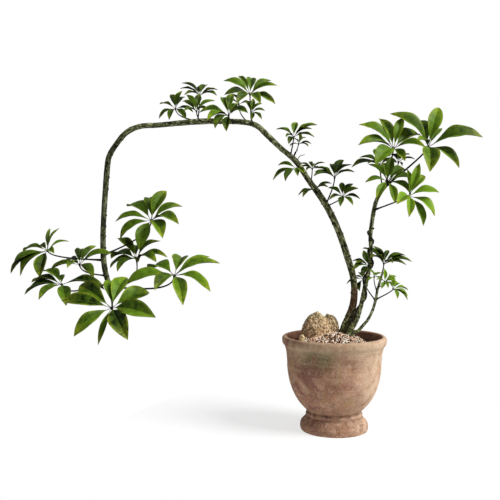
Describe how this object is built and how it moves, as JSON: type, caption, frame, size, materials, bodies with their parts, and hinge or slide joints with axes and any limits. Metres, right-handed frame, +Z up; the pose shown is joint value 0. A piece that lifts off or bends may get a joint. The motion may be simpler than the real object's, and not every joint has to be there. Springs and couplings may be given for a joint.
{
  "type": "potted umbrella plant",
  "caption": "Umbrella plant with arching bare stems and whorls of glossy leaflets, growing with a rough stone and gravel in a footed terracotta urn.",
  "frame": {"origin": "centre of the pot's flat underside", "axes": "+Z up, +X along the plant's spread towards the two upright stems, -Y towards the front; the tall stem arches over to -X"},
  "size_m": [1.3597, 0.3819, 1.0319],
  "materials": {
    "terracotta": "matte",
    "soil": "matte",
    "gravel": "matte",
    "rock": "matte",
    "bark": "matte",
    "root": "matte",
    "leaf": "satin"
  },
  "bodies": {
    "root": {"pot": "terracotta", "soil": "soil", "gravel": "gravel", "stone": "rock", "small_stone": "rock", "stem_tall": "bark", "stem_middle": "bark", "stem_short": "bark", "aerial_root": "root", "leaf_tall_01": "leaf", "leaf_tall_02": "leaf", "leaf_tall_03": "leaf", "leaf_tall_04": "leaf", "leaf_tall_05": "leaf", "leaf_tall_06": "leaf", "leaf_tall_07": "leaf", "leaf_tall_08": "leaf", "leaf_tall_09": "leaf", "leaf_tall_10": "leaf", "leaf_tall_11": "leaf", "leaf_tall_12": "leaf", "leaf_tall_13": "leaf", "leaf_tall_14": "leaf", "leaf_tall_15": "leaf", "leaf_tall_16": "leaf", "leaf_tall_17": "leaf", "leaf_tall_18": "leaf", "leaf_tall_19": "leaf", "leaf_tall_20": "leaf", "leaf_tall_21": "leaf", "leaf_middle_01": "leaf", "leaf_middle_02": "leaf", "leaf_middle_03": "leaf", "leaf_middle_04": "leaf", "leaf_middle_05": "leaf", "leaf_middle_06": "leaf", "leaf_middle_07": "leaf", "leaf_short_01": "leaf", "leaf_short_02": "leaf", "leaf_short_03": "leaf", "leaf_short_04": "leaf", "leaf_short_05": "leaf"}
  },
  "joints": []
}
